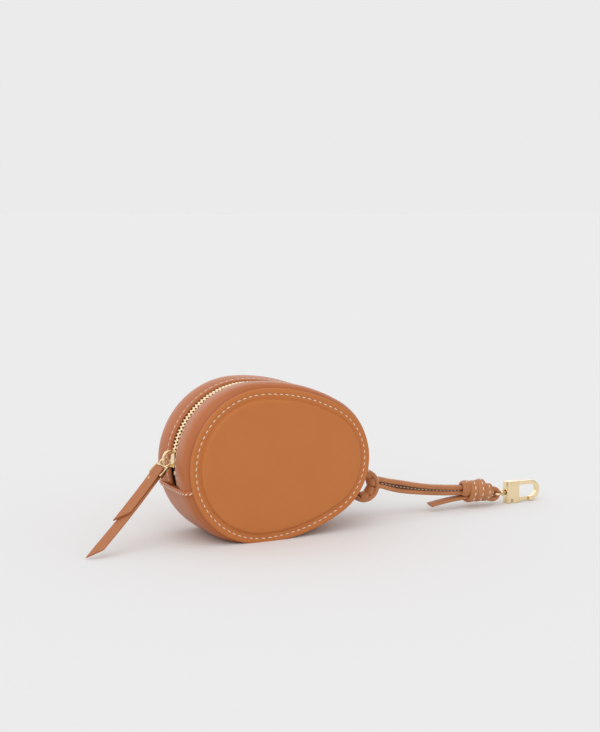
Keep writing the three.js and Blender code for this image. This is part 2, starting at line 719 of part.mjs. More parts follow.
function bodyPieces() {
  const group = new THREE.Group();
  const sides = [['front', -1], ['back', 1]];
  for (const [word, side] of sides) {
    group.add(piece(`${word}_panel`, panelSkin(side), TAN_LEATHER));
    group.add(piece(`${word}_board`, panelBoard(side), BOARD));
    group.add(piece(`${word}_lining`, panelLining(side), LINING_CLOTH));
    group.add(piece(`zip_strip_${word}`, zipStrip(side), TAN_LEATHER));
    group.add(piece(`strip_lining_${word}`, stripLining(side), LINING_CLOTH));
    group.add(piece(`zip_tape_${word}`, zipTape(side), TAPE));
    group.add(piece(`zip_teeth_${word}`, zipTeeth(side), GOLD));
  }
  group.add(piece('lower_gusset', lowerGusset(), TAN_LEATHER));
  group.add(piece('gusset_lining', gussetLining(), LINING_CLOTH));
  return group;
}

function stopPieces() {
  const group = new THREE.Group();
  const topAngle = SLIDER_ANGLE + 11;
  const half = CHAIN_WIDTH / 2;
  group.add(zipStop('top_stop_front', topAngle, GAP, half));
  group.add(zipStop('top_stop_back', topAngle, -half, -GAP));
  group.add(zipStop('bottom_stop', CHAIN_START - 3, -half, half));
  return group;
}

function sliderPieces() {
  const group = rimGroup(SLIDER_ANGLE);
  group.add(piece('slider_body', sliderBody(), GOLD));
  return group;
}

function pullerPieces() {
  const group = pullerGroup();
  group.add(piece('pull_yoke', pullYoke(), GOLD));
  group.add(piece('pull_pin', pullPin(), GOLD));
  group.add(piece('pull_tab', pullTab(), TAN_LEATHER));
  return group;
}

function anchorPieces() {
  const group = rimGroup(ANCHOR_ANGLE);
  group.add(piece('anchor_tab', anchorTab(), TAN_LEATHER));
  group.add(piece('anchor_ring', anchorRing(), GOLD));
  return group;
}

function claspPieces() {
  const group = new THREE.Group();
  group.position.set(CLASP_START[0], 0, CLASP_START[1]);
  group.add(piece('swivel_eye', swivelEye(), GOLD));
  group.add(piece('clasp_body', claspBody(), GOLD));
  group.add(piece('clasp_gate', claspGate(), GOLD));
  group.add(piece('gate_pin', gatePin(), GOLD));
  const spring = new THREE.Shape().absarc(0, 0, SPRING_WIRE / 2, 0, 2 * Math.PI, false);
  const coil = new THREE.ExtrudeGeometry(spring, {
    steps: 12 * SPRING_TURNS, bevelEnabled: false, extrudePath: new SpringCoil(), curveSegments: 3,
  });
  group.add(piece('gate_spring', coil.translate(GATE_PIN_AT, 0, GATE_LEVEL), STEEL));
  return group;
}

function strapPieces() {
  const group = new THREE.Group();
  const [x, z] = rimPoint(ANCHOR_ANGLE, RING_REACH);
  group.position.set(x, 0, z);
  group.add(piece('strap_hitch', strapHitch(), LACE_LEATHER));
  group.add(piece('strap_strand_upper', laceRun(UPPER_STRAND, 14), LACE_LEATHER));
  group.add(piece('strap_strand_lower', laceRun(LOWER_STRAND, 14), LACE_LEATHER));
  group.add(piece('strap_tail', laceRun(CUT_END, 6), LACE_LEATHER));
  group.add(piece('strap_knot', strapKnot(), LACE_LEATHER));
  group.add(piece('strap_end_loop', laceRun(END_BIGHT, 12, LACE_PINCH), LACE_LEATHER));
  group.add(claspPieces());
  return group;
}

const pouch = new THREE.Group();
pouch.position.z = AXIS_HEIGHT;
pouch.add(bodyPieces(), stopPieces(), sliderPieces(), pullerPieces(), anchorPieces(), strapPieces());
pouch.updateMatrixWorld(true);

export default pouch;
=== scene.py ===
import math

import bpy
from mathutils import Matrix, Vector


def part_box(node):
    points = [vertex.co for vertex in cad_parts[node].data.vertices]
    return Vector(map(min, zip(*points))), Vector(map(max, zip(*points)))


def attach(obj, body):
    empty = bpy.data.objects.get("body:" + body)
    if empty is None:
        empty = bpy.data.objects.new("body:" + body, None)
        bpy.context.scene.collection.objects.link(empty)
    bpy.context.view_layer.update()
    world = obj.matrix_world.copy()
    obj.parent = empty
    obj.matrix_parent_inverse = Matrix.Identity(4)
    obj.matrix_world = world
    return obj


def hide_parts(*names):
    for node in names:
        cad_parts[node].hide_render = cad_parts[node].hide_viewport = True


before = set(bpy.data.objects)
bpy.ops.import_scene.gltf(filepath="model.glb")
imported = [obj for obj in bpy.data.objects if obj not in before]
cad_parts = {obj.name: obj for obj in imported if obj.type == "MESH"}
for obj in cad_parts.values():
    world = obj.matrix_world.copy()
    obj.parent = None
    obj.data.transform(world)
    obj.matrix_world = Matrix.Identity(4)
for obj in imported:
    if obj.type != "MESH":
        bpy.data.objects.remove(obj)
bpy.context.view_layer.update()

# ---- Studio ------------------------------------------------------------------
# The camera stands to the left of the front panel and a little above the table.
# A pale table runs into an evenly lit pale room, with one very soft light from
# the upper left. Reflections see a brighter wall behind the pouch.

scene = bpy.context.scene
scene.view_settings.view_transform = "Standard"

CAMERA_PLACE = Vector((-0.3152, -0.7137, 0.1867))
CAMERA_TARGET = Vector((0.0342, 0.0, 0.0939))
bpy.ops.object.camera_add(location=CAMERA_PLACE)
camera = bpy.context.object
looking = CAMERA_TARGET - CAMERA_PLACE
camera.rotation_mode = "QUATERNION"
camera.rotation_quaternion = looking.to_track_quat("-Z", "Y")
camera.data.sensor_width = 36
camera.data.lens = 68.51
camera.data.clip_end = 60
scene.camera = camera

ROOM_LIGHT = 0.83
WALL_AHEAD = 0.35
WALL_BEHIND = 1.5
TABLE_GREY = 0.81
room = bpy.data.worlds.new("pale_room")
room.use_nodes = True
scene.world = room
room_nodes = room.node_tree.nodes
room_links = room.node_tree.links
backdrop = room_nodes["Background"]
backdrop.inputs["Color"].default_value = (1.0, 1.0, 1.0, 1)
backdrop.inputs["Strength"].default_value = ROOM_LIGHT
mirrored_light = room_nodes.new("ShaderNodeBackground")
mirrored_light.inputs["Strength"].default_value = ROOM_LIGHT
room_place = room_nodes.new("ShaderNodeTexCoord")
directions = room_nodes.new("ShaderNodeSeparateXYZ")
room_links.new(room_place.outputs["Generated"], directions.inputs["Vector"])
back_wall = room_nodes.new("ShaderNodeMapRange")
back_wall.interpolation_type = "SMOOTHSTEP"
back_wall.inputs["From Min"].default_value = -0.5
back_wall.inputs["From Max"].default_value = 0.9
back_wall.inputs["To Min"].default_value = WALL_AHEAD
back_wall.inputs["To Max"].default_value = WALL_BEHIND
room_links.new(directions.outputs["Y"], back_wall.inputs["Value"])
room_links.new(back_wall.outputs["Result"], mirrored_light.inputs["Color"])
seen_by = room_nodes.new("ShaderNodeLightPath")
either = room_nodes.new("ShaderNodeMixShader")
room_links.new(seen_by.outputs["Is Glossy Ray"], either.inputs["Fac"])
room_links.new(backdrop.outputs["Background"], either.inputs[1])
room_links.new(mirrored_light.outputs["Background"], either.inputs[2])
room_links.new(either.outputs["Shader"], room_nodes["World Output"].inputs["Surface"])

bpy.ops.object.light_add(type="SUN", rotation=(math.radians(34), math.radians(-30), 0))
key_light = bpy.context.object
key_light.data.energy = 0.9
key_light.data.angle = math.radians(70)

bpy.ops.mesh.primitive_circle_add(vertices=96, radius=25, fill_type="NGON")
table = bpy.context.object
table.name = "table_top"
table_paint = bpy.data.materials.new("table_paint")
table_paint.use_nodes = True
table_shader = table_paint.node_tree.nodes["Principled BSDF"]
table_shader.inputs["Base Color"].default_value = (TABLE_GREY, TABLE_GREY, TABLE_GREY, 1)
table_shader.inputs["Roughness"].default_value = 1.0
table_shader.inputs["Specular IOR Level"].default_value = 0.0
table.data.materials.append(table_paint)

# ---- Leather lace strap --------------------------------------------------------
# A folded and stitched leather lace, doubled from the ring to a coiled knot.
# One strand runs through the knot to a small loop on the clasp's eye, the other
# ends in the knot, and the cut end comes back out beside the strands.

MM = 0.001
LACE_WIDTH = 6.0
LACE_THICKNESS = 2.8

ring_low, ring_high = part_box("anchor_ring")
RING_CENTRE = (ring_low + ring_high) / 2


def from_ring(x, z, y=0.0):
    return RING_CENTRE + Vector((x, y, z)) * MM


def smooth_line(points, steps):
    """A smooth line through the points, with so many steps to a span."""
    ends = [2 * points[0] - points[1], *points, 2 * points[-1] - points[-2]]
    line = []
    for a, b, c, d in zip(ends, ends[1:], ends[2:], ends[3:]):
        for step in range(steps):
            t = step / steps
            bend = (2 * a - 5 * b + 4 * c - d) * t ** 2 + (3 * b - a - 3 * c + d) * t ** 3
            line.append((2 * b + (c - a) * t + bend) / 2)
    return [*line, points[-1]]


def stations(line, sides):
    """Each point of the line with the two axes of a section laid there."""
    laid = []
    for i, place in enumerate(line):
        heading_to = (line[min(i + 1, len(line) - 1)] - line[max(i - 1, 0)]).normalized()
        side = sides[i] - heading_to * sides[i].dot(heading_to)
        wide = side.normalized()
        laid.append((place, wide * sides[i].length, heading_to.cross(wide)))
    return laid


def sweep(name, section, laid, closed=False, smooth=50):
    """A closed section, in millimetres, laid along stations and closed at both ends."""
    rounds = [*laid, laid[0]] if closed else laid
    ring = [*section, section[0]]
    bpy.ops.object.select_all(action="DESELECT")
    bpy.ops.mesh.primitive_grid_add(
        x_subdivisions=len(rounds) - 1, y_subdivisions=len(ring) - 1, size=2,
    )
    piece = bpy.context.object
    piece.name = name
    for vertex in piece.data.vertices:
        place, wide, rise = rounds[round((vertex.co.x + 1) / 2 * (len(rounds) - 1))]
        across, up = ring[round((vertex.co.y + 1) / 2 * (len(ring) - 1))]
        vertex.co = place + wide * across * MM + rise * up * MM
    close_up(piece, smooth)
    return piece


def close_up(piece, smooth):
    """Merges the seams, closes the ends and turns every face outwards."""
    bpy.ops.object.mode_set(mode="EDIT")
    bpy.ops.mesh.select_all(action="SELECT")
    bpy.ops.mesh.remove_doubles(threshold=2e-6)
    bpy.ops.mesh.fill_holes(sides=0)
    bpy.ops.mesh.normals_make_consistent(inside=False)
    bpy.ops.object.mode_set(mode="OBJECT")
    bpy.ops.object.shade_smooth_by_angle(angle=math.radians(smooth))


def rounded(width, height, corner=0.55, count=16):
    """A flat section with rounded sides."""
    outline = []
    for i in range(count):
        turn = 2 * math.pi * (i + 0.5) / count
        across, up = math.cos(turn), math.sin(turn)
        outline.append((
            width / 2 * math.copysign(abs(across) ** corner, across),
            height / 2 * math.copysign(abs(up) ** corner, up),
        ))
    return outline


def grain_group():
    """Fine calf grain: a height for the bump and a tone that drifts over the hide."""
    group = bpy.data.node_groups.new("fine_grain", "ShaderNodeTree")
    group.interface.new_socket("Pore Scale", in_out="INPUT", socket_type="NodeSocketFloat")
    group.interface.new_socket("Height", in_out="OUTPUT", socket_type="NodeSocketFloat")
    group.interface.new_socket("Tone", in_out="OUTPUT", socket_type="NodeSocketFloat")
    nodes, links = group.nodes, group.links
    given = nodes.new("NodeGroupInput")
    put_out = nodes.new("NodeGroupOutput")
    place = nodes.new("ShaderNodeTexCoord")
    pores = nodes.new("ShaderNodeTexVoronoi")
    pores.feature = "SMOOTH_F1"
    links.new(place.outputs["Object"], pores.inputs["Vector"])
    links.new(given.outputs["Pore Scale"], pores.inputs["Scale"])
    creases = nodes.new("ShaderNodeTexNoise")
    creases.inputs["Scale"].default_value = 900
    creases.inputs["Detail"].default_value = 4
    links.new(place.outputs["Object"], creases.inputs["Vector"])
    height = nodes.new("ShaderNodeMath")
    height.operation = "ADD"
    links.new(pores.outputs["Distance"], height.inputs[0])
    links.new(creases.outputs["Fac"], height.inputs[1])
    links.new(height.outputs["Value"], put_out.inputs["Height"])
    drift = nodes.new("ShaderNodeTexNoise")
    drift.inputs["Scale"].default_value = 38
    drift.inputs["Detail"].default_value = 5
    drift.inputs["Roughness"].default_value = 0.6
    links.new(place.outputs["Object"], drift.inputs["Vector"])
    links.new(drift.outputs["Fac"], put_out.inputs["Tone"])
    return group


FINE_GRAIN = grain_group()


def leather(name, dark, light, rough=0.48, pore_scale=2600, bump=0.12, shine=0.5):
    """Smooth tanned calf: drifting tone, pores and a satin finish."""
    material = bpy.data.materials.new(name)
    material.use_nodes = True
    nodes, links = material.node_tree.nodes, material.node_tree.links
    shader = nodes["Principled BSDF"]
    grain = nodes.new("ShaderNodeGroup")
    grain.node_tree = FINE_GRAIN
    grain.inputs["Pore Scale"].default_value = pore_scale
    tones = nodes.new("ShaderNodeValToRGB")
    tones.color_ramp.elements[0].position = 0.3
    tones.color_ramp.elements[0].color = (*dark, 1)
    tones.color_ramp.elements[1].position = 0.72
    tones.color_ramp.elements[1].color = (*light, 1)
    links.new(grain.outputs["Tone"], tones.inputs["Fac"])
    links.new(tones.outputs["Color"], shader.inputs["Base Color"])
    satin = nodes.new("ShaderNodeMapRange")
    satin.inputs["To Min"].default_value = rough - 0.06
    satin.inputs["To Max"].default_value = rough + 0.08
    links.new(grain.outputs["Tone"], satin.inputs["Value"])
    links.new(satin.outputs["Result"], shader.inputs["Roughness"])
    shader.inputs["Specular IOR Level"].default_value = shine
    relief = nodes.new("ShaderNodeBump")
    relief.inputs["Strength"].default_value = bump
    relief.inputs["Distance"].default_value = 0.0002
    links.new(grain.outputs["Height"], relief.inputs["Height"])
    links.new(relief.outputs["Normal"], shader.inputs["Normal"])
    return material


LACE_LEATHER = leather("lace_leather", (0.40, 0.148, 0.050), (0.54, 0.212, 0.078), rough=0.48)


def thread_finish():
    """Waxed cream thread with a fine twist."""
    material = bpy.data.materials.new("cream_thread")
    material.use_nodes = True
    nodes, links = material.node_tree.nodes, material.node_tree.links
    shader = nodes["Principled BSDF"]
    place = nodes.new("ShaderNodeTexCoord")
    twist = nodes.new("ShaderNodeTexWave")
    twist.bands_direction = "DIAGONAL"
    twist.inputs["Scale"].default_value = 900
    twist.inputs["Distortion"].default_value = 2
    links.new(place.outputs["Object"], twist.inputs["Vector"])
    tones = nodes.new("ShaderNodeValToRGB")
    tones.color_ramp.elements[0].color = (0.66, 0.52, 0.38, 1)
    tones.color_ramp.elements[1].color = (0.90, 0.80, 0.66, 1)
    links.new(twist.outputs["Fac"], tones.inputs["Fac"])
    links.new(tones.outputs["Color"], shader.inputs["Base Color"])
    shader.inputs["Roughness"].default_value = 0.6
    relief = nodes.new("ShaderNodeBump")
    relief.inputs["Strength"].default_value = 0.3
    relief.inputs["Distance"].default_value = 0.0001
    links.new(twist.outputs["Fac"], relief.inputs["Height"])
    links.new(relief.outputs["Normal"], shader.inputs["Normal"])
    return material


CREAM_THREAD = thread_finish()


def put(piece, material, body):
    """Gives a finished piece its material and the body that it moves with."""
    piece.data.materials.clear()
    piece.data.materials.append(material)
    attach(piece, body)
    return piece


def sew(name, places, length, thick, body, slant=0.0):
    """One stitch, copied to every place: its middle, its run and the way out of the leather."""
    bpy.ops.object.select_all(action="DESELECT")
    bpy.ops.mesh.primitive_uv_sphere_add(segments=8, ring_count=6, radius=0.5)
    stitch = bpy.context.object
    bpy.ops.transform.resize(value=(length * MM, thick * MM, thick * 0.8 * MM))
    bpy.ops.object.transform_apply(location=False, rotation=False, scale=True)
    bpy.ops.object.shade_smooth()
    sewn = []
    for middle, run, out in places:
        copy = bpy.data.objects.new(name, stitch.data.copy())
        scene.collection.objects.link(copy)
        run = (run - out * run.dot(out)).normalized()
        run.rotate(Matrix.Rotation(math.radians(slant), 3, out))
        turned = Matrix((run, out.cross(run), out)).transposed().to_4x4()
        copy.data.transform(Matrix.Translation(middle) @ turned)
        sewn.append(copy)
    bpy.data.objects.remove(stitch)
    bpy.ops.object.select_all(action="DESELECT")
    for copy in sewn:
        copy.select_set(True)
    bpy.context.view_layer.objects.active = sewn[0]
    bpy.ops.object.join()
    row = bpy.context.object
    row.name = name
    return put(row, CREAM_THREAD, body)


def spaced_places(line, pitch, first=0.0):
    """Points and headings at an even pitch, in millimetres, along a line."""
    places = []
    due = first * MM
    walked = 0.0
    for a, b in zip(line, line[1:]):
        span = (b - a).length
        while due <= walked + span:
            places.append((a.lerp(b, (due - walked) / span), (b - a).normalized()))
            due += pitch * MM
        walked += span
    return places


SIDEWAYS = Vector((0, 1, 0))

upper_line = smooth_line([from_ring(x, z) for x, z in [
    (8.4, 2.6), (12.4, 2.4), (19, 0.7), (26.9, -1.0), (37.5, -3.4), (48, -5.4), (59, -6.8), (69.4, -7.8),
    (77, -9.0), (85, -10.2), (92, -10.7), (94.6, -10.9), (96.3, -12.0), (96.9, -13.9),
    (96.3, -15.8), (94.6, -16.9), (92, -17.1), (88, -15.8), (84, -14.0),
]], 6)
PINCH_FROM = from_ring(86, 0).x
PINCH_LENGTH = 6 * MM
PINCH = 0.3
pinched = []
for place in upper_line:
    share = max(0.0, min(1.0, (place.x - PINCH_FROM) / PINCH_LENGTH))
    pinched.append(SIDEWAYS * (1 - PINCH * share))
strand_upper = sweep("strand_upper", rounded(LACE_WIDTH, LACE_THICKNESS), stations(upper_line, pinched))
put(strand_upper, LACE_LEATHER, "strap")
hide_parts("strap_strand_upper", "strap_end_loop")

lower_line = smooth_line([from_ring(x, z) for x, z in [
    (8.4, -2.2), (12.4, -1.6), (19, -3.7), (26.9, -5.8), (37.5, -7.6), (48, -9.0), (59, -10.2),
    (69.4, -11.0), (77, -12.0), (83, -11.8),
]], 6)
lower_stations = stations(lower_line, [SIDEWAYS] * len(lower_line))
strand_lower = sweep("strand_lower", rounded(LACE_WIDTH, LACE_THICKNESS), lower_stations)
put(strand_lower, LACE_LEATHER, "strap")
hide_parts("strap_strand_lower")

tail_line = smooth_line([from_ring(x, z) for x, z in [
    (85.5, -14.0), (77, -13.8), (69.4, -14.2), (63, -14.6), (56, -15.4), (47.5, -16.7),
]], 6)
CUT_PLACE = from_ring(48.2, -16.7)
CUT_SLANT = 0.9
cut_end = sweep("cut_end", rounded(LACE_WIDTH, 2.6), stations(tail_line, [SIDEWAYS] * len(tail_line)))
for vertex in cut_end.data.vertices:
    slanted = CUT_PLACE.x + (CUT_PLACE.z - vertex.co.z) * CUT_SLANT
    vertex.co.x = max(vertex.co.x, slanted)
put(cut_end, LACE_LEATHER, "strap")
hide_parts("strap_tail")

# The coil of the knot: the lace laid flat round the strands, three turns,
# with both ends tucked in under the turns.

KNOT_AXIS = from_ring(0, -10.8)
COIL_TURNS = 3.25
COIL_RADIUS = 5.4
COIL_START = 71.8
COIL_LENGTH = 17.0


def coil_point(t):
    """A point of the coil's line and the way out from the knot's axis there."""
    tuck = min(1.0, t / 0.07, (1 - t) / 0.07)
    radius = COIL_RADIUS - 2.4 * (1 - tuck) + 0.22 * math.sin(9.1 * t + 1)
    turn = 2 * math.pi * COIL_TURNS * t - 1.9
    out = Vector((0, math.sin(turn), math.cos(turn)))
    along = RING_CENTRE.x + (COIL_START + COIL_LENGTH * t + 0.5 * math.sin(turn)) * MM
    return Vector((along, KNOT_AXIS.y, KNOT_AXIS.z)) + out * radius * MM, out


COIL_STEPS = 132
coil_line = [coil_point(i / COIL_STEPS)[0] for i in range(COIL_STEPS + 1)]
knot_coil = sweep(
    "knot_coil", rounded(5.9, 2.8, corner=0.75),
    stations(coil_line, [Vector((1, 0, 0))] * len(coil_line)),
)
put(knot_coil, LACE_LEATHER, "strap")
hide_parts("strap_knot")

COIL_STITCH_OUT = 1.38 * MM
coil_stitches = []
for middle, run in spaced_places(coil_line, 3.0, first=8):
    out = Vector((0, middle.y - KNOT_AXIS.y, middle.z - KNOT_AXIS.z)).normalized()
    coil_stitches.append((middle + out * COIL_STITCH_OUT, run, out))
sew("knot_stitches", coil_stitches, 2.4, 0.7, "strap")

# The hitch: the bight of the lace laid round the outside of the ring, its two
# ends curling in behind the ring.


def about_ring(turn, radius, y):
    return from_ring(radius * math.cos(math.radians(turn)), radius * math.sin(math.radians(turn)), y)


hitch_line = smooth_line([about_ring(turn, radius, y) for turn, radius, y in [
    (108, 4.8, 2.6), (96, 6.8, 1.4), (78, 8.2, -0.6), (52, 8.8, -1.7), (22, 8.9, -2.1),
    (-6, 9.0, -2.2), (-34, 9.0, -2.2), (-62, 8.9, -1.9), (-88, 8.6, -1.2), (-108, 8.0, 0.2),
    (-122, 6.4, 2.0), (-128, 4.6, 3.0),
]], 6)
hitch_bight = sweep(
    "hitch_bight", rounded(5.8, 2.9, corner=0.65), stations(hitch_line, [SIDEWAYS] * len(hitch_line)),
)
put(hitch_bight, LACE_LEATHER, "strap")
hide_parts("strap_hitch")

# Four turns of the lace over the ring's wire fill the ring behind the bight.

for turn in (62, 14, -34, -80):
    round_ring = math.radians(turn)
    tangent = Vector((-math.sin(round_ring), 0, math.cos(round_ring)))
    turn_line = smooth_line([about_ring(turn, radius, y) for radius, y in [
        (8.9, -2.6), (7.3, -3.3), (5.7, -2.4), (4.9, 0.0), (5.7, 2.4), (7.3, 3.3), (8.9, 2.6),
    ]], 5)
    hitch_turn = sweep(
        "hitch_turn", rounded(5.4, 1.6, corner=0.7), stations(turn_line, [tangent] * len(turn_line)),
    )
    put(hitch_turn, LACE_LEATHER, "strap")

BIGHT_STITCH_OUT = 1.35 * MM
BIGHT_STITCH_SIDE = Vector((0, -1.6, 0)) * MM
hitch_stitches = []
for middle, run in spaced_places(hitch_line, 3.2, first=6):
    out = Vector((middle.x - RING_CENTRE.x, 0, middle.z - RING_CENTRE.z)).normalized()
    hitch_stitches.append((middle + out * BIGHT_STITCH_OUT + BIGHT_STITCH_SIDE, run, out))
sew("bight_stitches", hitch_stitches[:-2], 2.3, 0.6, "strap")

# Between the strands a recessed core fills the gap; its near-black colour is painted shade of the gap.

# Near-black leather: painted shade for the gap between the strands.
GAP_SHADE_LEATHER = leather("gap_shade_leather", (0.10, 0.040, 0.020), (0.17, 0.070, 0.034), rough=0.8)
core_line = smooth_line([from_ring(x, z) for x, z in [
    (10.5, 0.4), (14, 0.0), (19, -1.5), (26.9, -3.4), (37.5, -5.5), (48, -7.2), (59, -8.5), (68, -9.3),
]], 6)
gap_shade_core = sweep("gap_shade_core", rounded(4.4, 2.6), stations(core_line, [SIDEWAYS] * len(core_line)))
put(gap_shade_core, GAP_SHADE_LEATHER, "strap")

CORE_FACE = Vector((0, -2.2, 0)) * MM
LACE_TOP = Vector((0, 1.7, 1.38)) * MM
FORWARDS = Vector((0, -1, 0))
UPWARDS = Vector((0, 0, 1))
strand_stitches = []
for middle, run in spaced_places(core_line, 2.6, first=3):
    strand_stitches.append((middle + CORE_FACE, run, FORWARDS))
for middle, run in spaced_places(upper_line, 3.4, first=5)[:17]:
    strand_stitches.append((middle + LACE_TOP, run, UPWARDS))
sew("lace_stitches", strand_stitches, 1.5, 0.4, "strap")

# ---- Moulded panels ------------------------------------------------------------
# Two egg-shaped calf panels, each pressed over a stiff board so that its middle
# stands proud, and stitched to the gusset close to the rim.

BIG_RADIUS = 43.5
TIP_RADIUS = 35.0
TIP_OFFSET = 31.5
SIDE_RADIUS = (TIP_OFFSET ** 2 + BIG_RADIUS ** 2 - TIP_RADIUS ** 2) / (2 * (BIG_RADIUS - TIP_RADIUS))
SIDE_DROP = SIDE_RADIUS - BIG_RADIUS
TIP_TURN = math.degrees(math.atan2(SIDE_DROP, TIP_OFFSET))
AXIS_HEIGHT = 42.3


def rim_arc(angle):
    """The centre and radius of the outline's arc where its normal has this angle."""
    turned = (angle + 180) % 360 - 180
    if abs(turned) < TIP_TURN:
        return TIP_OFFSET, 0.0, TIP_RADIUS
    if abs(turned) < 90:
        return 0.0, -math.copysign(SIDE_DROP, turned), SIDE_RADIUS
    return 0.0, 0.0, BIG_RADIUS


def rim_place(angle, outward=0.0, forward=0.0):
    """A point so far out from the outline and so far forward of the middle plane."""
    x, z, radius = rim_arc(angle)
    reach = radius + outward
    turn = math.radians(angle)
    place = Vector((x + reach * math.cos(turn), -forward, AXIS_HEIGHT + z + reach * math.sin(turn)))
    return place * MM


def rim_angles(first, last, spacing, inset=0.0):
    """Angles an even distance apart along the rim."""
    angles = [first]
    while angles[-1] < last:
        angles.append(angles[-1] + math.degrees(spacing / (rim_arc(angles[-1])[2] - inset)))
    stretch = (last - first) / (angles[-1] - first)
    return [first + (angle - first) * stretch for angle in angles]


PANEL_MIDDLE = Vector((11.5, 0, AXIS_HEIGHT)) * MM


def egg_panel(name, side, profile):
    """A closed egg-shaped disc. A step of the profile is its inset, its forward and its share drawn in."""
    around = rim_angles(-180, 180, 1.8)
    bpy.ops.object.select_all(action="DESELECT")
    bpy.ops.mesh.primitive_grid_add(
        x_subdivisions=len(around) - 1, y_subdivisions=len(profile) - 1, size=2,
    )
    piece = bpy.context.object
    piece.name = name
    for vertex in piece.data.vertices:
        angle = around[round((vertex.co.x + 1) / 2 * (len(around) - 1))]
        inset, forward, drawn = profile[round((vertex.co.y + 1) / 2 * (len(profile) - 1))]
        place = rim_place(angle, -inset).lerp(PANEL_MIDDLE, drawn)
        vertex.co = Vector((place.x, side * forward * MM, max(place.z, 0.0)))
    close_up(piece, 60)
    return piece


PANEL_PROFILE = [
    (12, 26.95, 1), (12, 26.94, 0.8), (12, 26.9, 0.55), (12, 26.84, 0.3), (12, 26.78, 0.1), (12, 26.74, 0),
    (9.4, 26.7, 0), (8.0, 26.62, 0), (7.2, 26.5, 0), (6.6, 26.25, 0), (6.25, 25.9, 0), (6.0, 25.35, 0),
    (5.85, 24.9, 0), (5.6, 24.72, 0), (5.1, 24.86, 0), (4.4, 24.96, 0), (3.8, 24.93, 0), (3.5, 24.8, 0),
    (3.2, 24.7, 0), (2.9, 24.8, 0), (2.6, 24.95, 0), (1.9, 25.04, 0), (1.1, 25.0, 0), (0.5, 24.82, 0),
    (0.12, 24.5, 0), (0.0, 24.1, 0), (0.05, 23.7, 0), (0.35, 23.35, 0), (0.9, 23.22, 0), (7, 23.2, 0),
    (12, 23.2, 0), (12, 23.2, 0.5), (12, 23.2, 1),
]
TAN_LEATHER = leather("tan_leather", (0.505, 0.161, 0.039), (0.527, 0.173, 0.043), rough=0.46, shine=0.3)
BOARD_FINISH = leather(
    "fibre_board", (0.30, 0.25, 0.19), (0.42, 0.36, 0.28), rough=0.9, pore_scale=4000,
)
STITCH_INSET = 3.2
GROOVE_FACE = 24.84

for word, side in (("front", -1), ("back", 1)):
    panel = egg_panel(f"panel_{word}", side, PANEL_PROFILE)
    put(panel, TAN_LEATHER, "pouch")
    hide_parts(f"{word}_panel")
    outwards = Vector((0, side, 0))
    row = []
    around = rim_angles(-180, 180, 3.6, STITCH_INSET)
    for a, b in zip(around, around[1:]):
        run = rim_place(b, -STITCH_INSET) - rim_place(a, -STITCH_INSET)
        middle = (rim_place(b, -STITCH_INSET) + rim_place(a, -STITCH_INSET)) / 2
        row.append((middle + outwards * GROOVE_FACE * MM, run, outwards))
    sew(f"panel_stitches_{word}", row, 2.4, 0.6, "pouch", slant=side * 5)
    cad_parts[f"{word}_board"].data.materials[0] = BOARD_FINISH

# ---- Gusset band and zip strips --------------------------------------------------
# One band of calf runs round the bottom, and two narrow strips run round the top
# with the zip between them. All three are turned in at the sides, under the panels.

BAND_EDGE = [(19.4, 2.2), (20.8, 1.3), (22.0, 0.0), (22.6, -1.4), (22.9, -3.0), (22.9, -7)]
BAND_EDGE_INSIDE = [(21.6, -7), (21.5, -3.6), (21.0, -2.0), (20.2, -0.6), (19.0, 0.4)]


def mirrored(line):
    return [(-across, out) for across, out in reversed(line)]


BOTTOM = 270
PRESSED = 0.7
PRESSED_SPREAD = 25


def rim_stations(first, last, spacing, side=1):
    """Stations along the rim, whose sections run across and outward, pressed flat at the bottom."""
    laid = []
    for angle in rim_angles(first, last, spacing):
        turn = math.radians(angle)
        pressed_flat = PRESSED * math.exp(-((angle - BOTTOM) / PRESSED_SPREAD) ** 2)
        outwards = Vector((math.cos(turn), 0, math.sin(turn))) * (1 - pressed_flat)
        laid.append((rim_place(angle), Vector((0, -side, 0)), outwards))
    return laid


BAND_TOP = [(0, 3.2), (6, 3.2), (11, 3.1), (15, 2.95), (17.6, 2.6), *BAND_EDGE]
BAND_UNDER = [*BAND_EDGE_INSIDE, (15, -0.2), (11, 0), (6, 0.1)]
band_section = [
    *mirrored(BAND_TOP), *BAND_TOP[1:], *BAND_UNDER, (0, 0.15), *mirrored(BAND_UNDER),
]
gusset_band = sweep("gusset_band", band_section, rim_stations(195.6, 346.6, 2.4), smooth=60)
for vertex in gusset_band.data.vertices:
    vertex.co.z = max(vertex.co.z, 0.0)
GUSSET_LEATHER = leather(
    "gusset_leather", (0.425, 0.124, 0.034), (0.465, 0.142, 0.041), rough=0.36, shine=0.4,
)
put(gusset_band, GUSSET_LEATHER, "pouch")
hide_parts("lower_gusset")

